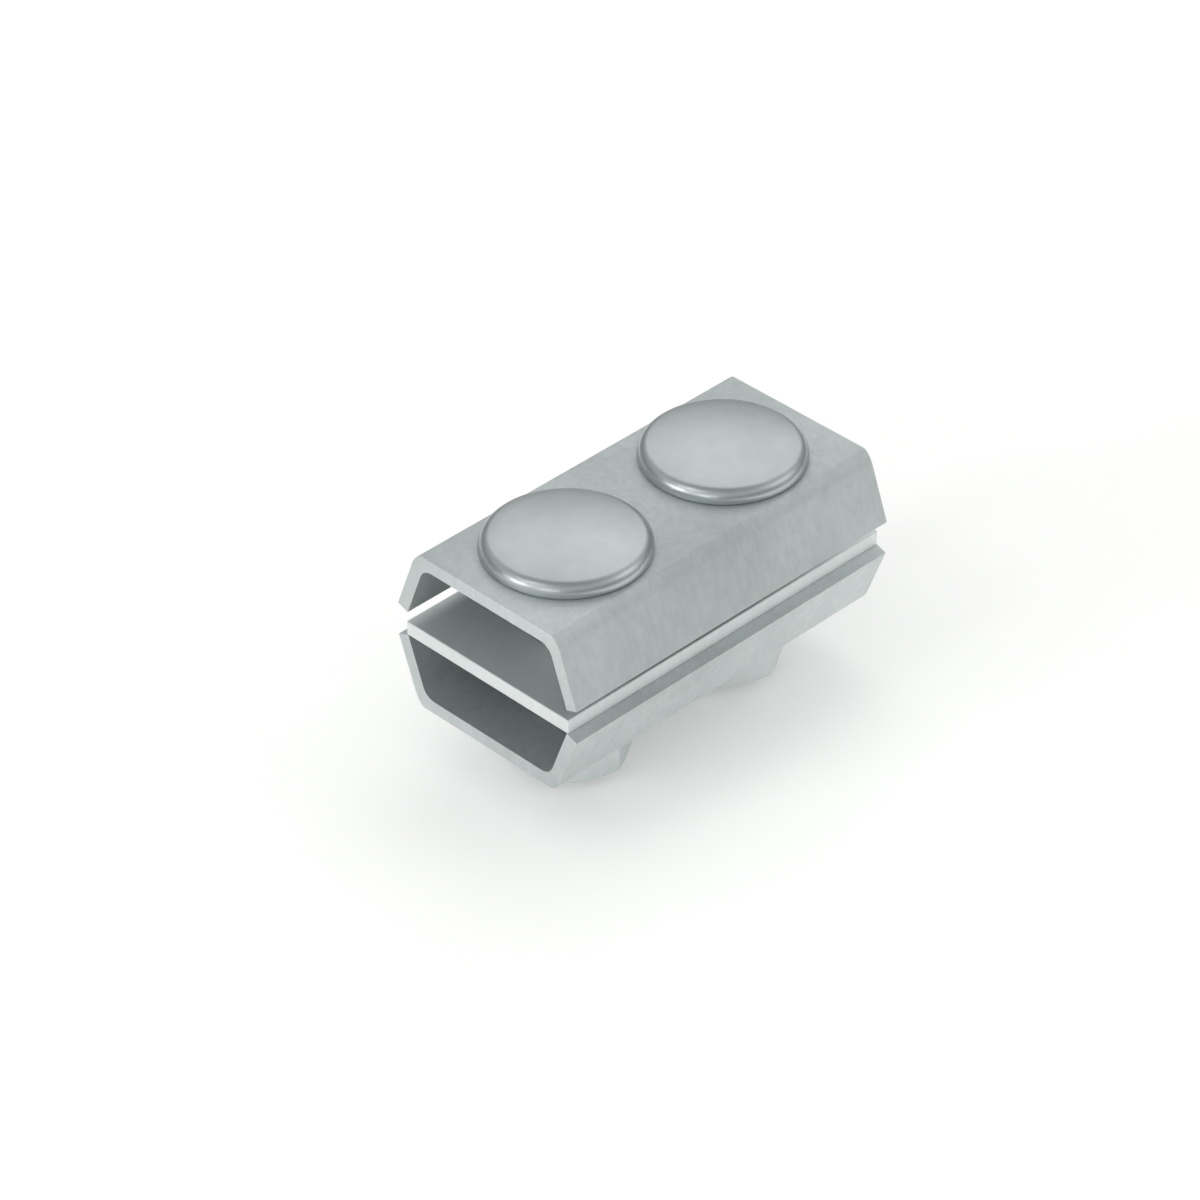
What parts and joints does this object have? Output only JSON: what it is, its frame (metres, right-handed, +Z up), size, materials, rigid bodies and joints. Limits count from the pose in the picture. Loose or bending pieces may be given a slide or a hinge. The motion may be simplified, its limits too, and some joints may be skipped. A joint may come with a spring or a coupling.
{
  "type": "parallel earthing connector",
  "caption": "Clamp that joins parallel round earthing conductors between bent channels and a flat plate, with carriage bolts and hex nuts.",
  "frame": {"origin": "on the plane of the bolts' end faces, midway between the two bolts", "axes": "+X along the clamped conductors, +Y across them, +Z up along the bolts to their heads"},
  "size_m": [0.06, 0.034, 0.038],
  "materials": {
    "galvanised_sheet": "hot-dip galvanised, satin",
    "galvanised_plate": "hot-dip galvanised, satin",
    "galvanised_bolt": "hot-dip galvanised, satin",
    "galvanised_nut": "hot-dip galvanised, satin"
  },
  "bodies": {
    "bolted_side": {"upper_channel": "galvanised_sheet", "bolt_near": "galvanised_bolt", "bolt_far": "galvanised_bolt"},
    "sliding_side": {"lower_channel": "galvanised_sheet", "intermediate_plate": "galvanised_plate"},
    "near_nut": {"nut_near": "galvanised_nut"},
    "far_nut": {"nut_far": "galvanised_nut"}
  },
  "joints": [
    {"name": "near_nut_turn", "type": "hinge", "parent": "sliding_side", "child": "near_nut", "pos_m": [-0.015, 0, 0.0056], "axis": [0, 0, 1], "range_deg": [-1620, 380]},
    {"name": "clamp_slide", "type": "slide", "parent": "bolted_side", "child": "sliding_side", "axis": [0, 0, 1], "range_m": [-0.00676, 0.00159]},
    {"name": "far_nut_turn", "type": "hinge", "parent": "sliding_side", "child": "far_nut", "pos_m": [0.015, 0, 0.0056], "axis": [0, 0, 1], "range_deg": [-1620, 380]}
  ],
  "couplings": [
    {"joint": "clamp_slide", "follows": "near_nut_turn", "m_per_rad": 0.00023873},
    {"joint": "far_nut_turn", "follows": "near_nut_turn", "ratio": 1}
  ]
}
